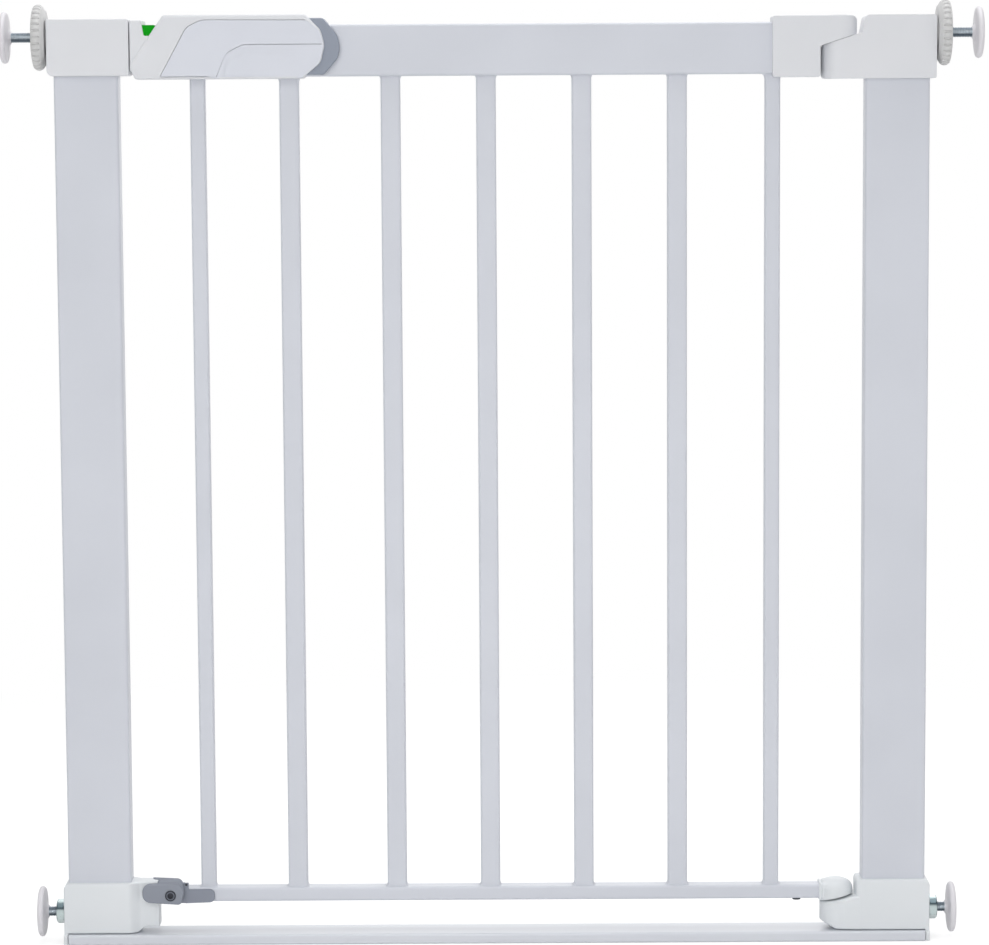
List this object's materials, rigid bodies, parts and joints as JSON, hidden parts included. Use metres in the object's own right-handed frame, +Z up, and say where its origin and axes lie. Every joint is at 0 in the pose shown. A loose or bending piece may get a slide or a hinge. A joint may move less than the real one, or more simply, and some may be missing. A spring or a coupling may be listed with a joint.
{
  "type": "latching stair gate",
  "caption": "Pressure-fit stair gate: barred leaf on rising hinges with a sliding latch in its handle, in a frame held by screw-out wall pads.",
  "frame": {"origin": "centre of the box at the floor, under the threshold rail", "axes": "+X from the latch side to the hinge side, +Y from the front to the back, +Z up"},
  "size_m": [0.762, 0.0506, 0.7415],
  "materials": {
    "painted_steel": "smooth satin powder coat, pale cool grey-white",
    "white_plastic": "satin moulded plastic",
    "pale_plastic": "satin moulded plastic",
    "grey_plastic": "satin moulded plastic",
    "green_plastic": "gloss",
    "dark_plastic": "moulded",
    "bush_plastic": "acetal, smooth",
    "zinc_steel": "bright zinc plate",
    "dark_steel": "black zinc"
  },
  "bodies": {
    "frame": {"left_upright": "painted_steel", "right_upright": "painted_steel", "threshold_rail": "painted_steel", "catch_housing": "white_plastic", "strike_plate": "zinc_steel", "hinge_housing": "white_plastic", "hinge_bush": "bush_plastic", "left_foot_housing": "white_plastic", "right_foot_housing": "white_plastic", "pivot_bush": "bush_plastic", "housing_screws": "zinc_steel"},
    "riser": {"upper_hinge_pin": "zinc_steel"},
    "leaf": {"top_rail": "painted_steel", "bottom_rail": "painted_steel", "bar_1": "painted_steel", "bar_2": "painted_steel", "bar_3": "painted_steel", "bar_4": "painted_steel", "bar_5": "painted_steel", "bar_6": "painted_steel", "bar_7": "painted_steel", "leaf_knuckle": "white_plastic", "hinge_cap": "white_plastic", "leaf_foot": "white_plastic", "lower_pivot_pin": "zinc_steel", "foot_screw": "dark_steel", "handle_front": "white_plastic", "handle_back": "white_plastic", "handle_cover": "white_plastic", "grip_panel": "white_plastic", "handle_screws": "zinc_steel", "rail_plug": "dark_plastic", "spring_stop": "zinc_steel", "release_spring": "zinc_steel", "stop_clip": "grey_plastic", "stop_screw": "dark_steel", "stop_pin": "dark_steel"},
    "lever": {"stop_lever": "grey_plastic"},
    "latch": {"latch_bolt": "zinc_steel", "bolt_rod": "zinc_steel", "indicator_flag": "green_plastic", "thumb_slider": "grey_plastic", "slider_pin": "zinc_steel"},
    "upper_left_foot": {"upper_left_spindle": "zinc_steel", "upper_left_pad": "pale_plastic"},
    "upper_left_turner": {"upper_left_handwheel": "pale_plastic"},
    "lower_left_foot": {"lower_left_spindle": "zinc_steel", "lower_left_pad": "pale_plastic"},
    "lower_left_turner": {"lower_left_nut": "zinc_steel"},
    "upper_right_foot": {"upper_right_spindle": "zinc_steel", "upper_right_pad": "pale_plastic"},
    "upper_right_turner": {"upper_right_handwheel": "pale_plastic"},
    "lower_right_foot": {"lower_right_spindle": "zinc_steel", "lower_right_pad": "pale_plastic"},
    "lower_right_turner": {"lower_right_nut": "zinc_steel"}
  },
  "joints": [
    {"name": "leaf_lift", "type": "slide", "parent": "frame", "child": "riser", "axis": [0, 0, 1], "range_m": [0, 0.0088]},
    {"name": "leaf_swing", "type": "hinge", "parent": "riser", "child": "leaf", "pos_m": [0.27, 0, 0.712], "axis": [0, 0, 1], "range_deg": [0, 90]},
    {"name": "latch_slide", "type": "slide", "parent": "leaf", "child": "latch", "axis": [1, 0, 0], "range_m": [0, 0.01], "stiffness_N_per_m": 300, "springref_m": -0.01, "deforming": ["release_spring"]},
    {"name": "stop_turn", "type": "hinge", "parent": "leaf", "child": "lever", "pos_m": [-0.2586, 0, 0.0398], "axis": [0, 1, 0], "range_deg": [0, 90]},
    {"name": "upper_left_pad_slide", "type": "slide", "parent": "frame", "child": "upper_left_foot", "axis": [-1, 0, 0], "range_m": [-0.012, 0.02]},
    {"name": "upper_left_handwheel_turn", "type": "hinge", "parent": "frame", "child": "upper_left_turner", "pos_m": [-0.35, 0, 0.7163], "axis": [1, 0, 0], "range_deg": [-3461, 5765]},
    {"name": "lower_left_pad_slide", "type": "slide", "parent": "frame", "child": "lower_left_foot", "axis": [-1, 0, 0], "range_m": [-0.003, 0.02]},
    {"name": "lower_left_nut_turn", "type": "hinge", "parent": "frame", "child": "lower_left_turner", "pos_m": [-0.35, 0, 0.0245], "axis": [1, 0, 0], "range_deg": [-869, 5765]},
    {"name": "upper_right_pad_slide", "type": "slide", "parent": "frame", "child": "upper_right_foot", "axis": [1, 0, 0], "range_m": [-0.012, 0.02]},
    {"name": "upper_right_handwheel_turn", "type": "hinge", "parent": "frame", "child": "upper_right_turner", "pos_m": [0.35, 0, 0.7163], "axis": [-1, 0, 0], "range_deg": [-3461, 5765]},
    {"name": "lower_right_pad_slide", "type": "slide", "parent": "frame", "child": "lower_right_foot", "axis": [1, 0, 0], "range_m": [-0.003, 0.02]},
    {"name": "lower_right_nut_turn", "type": "hinge", "parent": "frame", "child": "lower_right_turner", "pos_m": [0.35, 0, 0.0245], "axis": [-1, 0, 0], "range_deg": [-869, 5765]}
  ],
  "couplings": [
    {"joint": "leaf_lift", "follows": "leaf_swing", "m_per_rad": 0.0056},
    {"joint": "upper_left_handwheel_turn", "follows": "upper_left_pad_slide", "rad_per_m": 5026.5},
    {"joint": "lower_left_nut_turn", "follows": "lower_left_pad_slide", "rad_per_m": 5026.5},
    {"joint": "upper_right_handwheel_turn", "follows": "upper_right_pad_slide", "rad_per_m": 5026.5},
    {"joint": "lower_right_nut_turn", "follows": "lower_right_pad_slide", "rad_per_m": 5026.5}
  ]
}
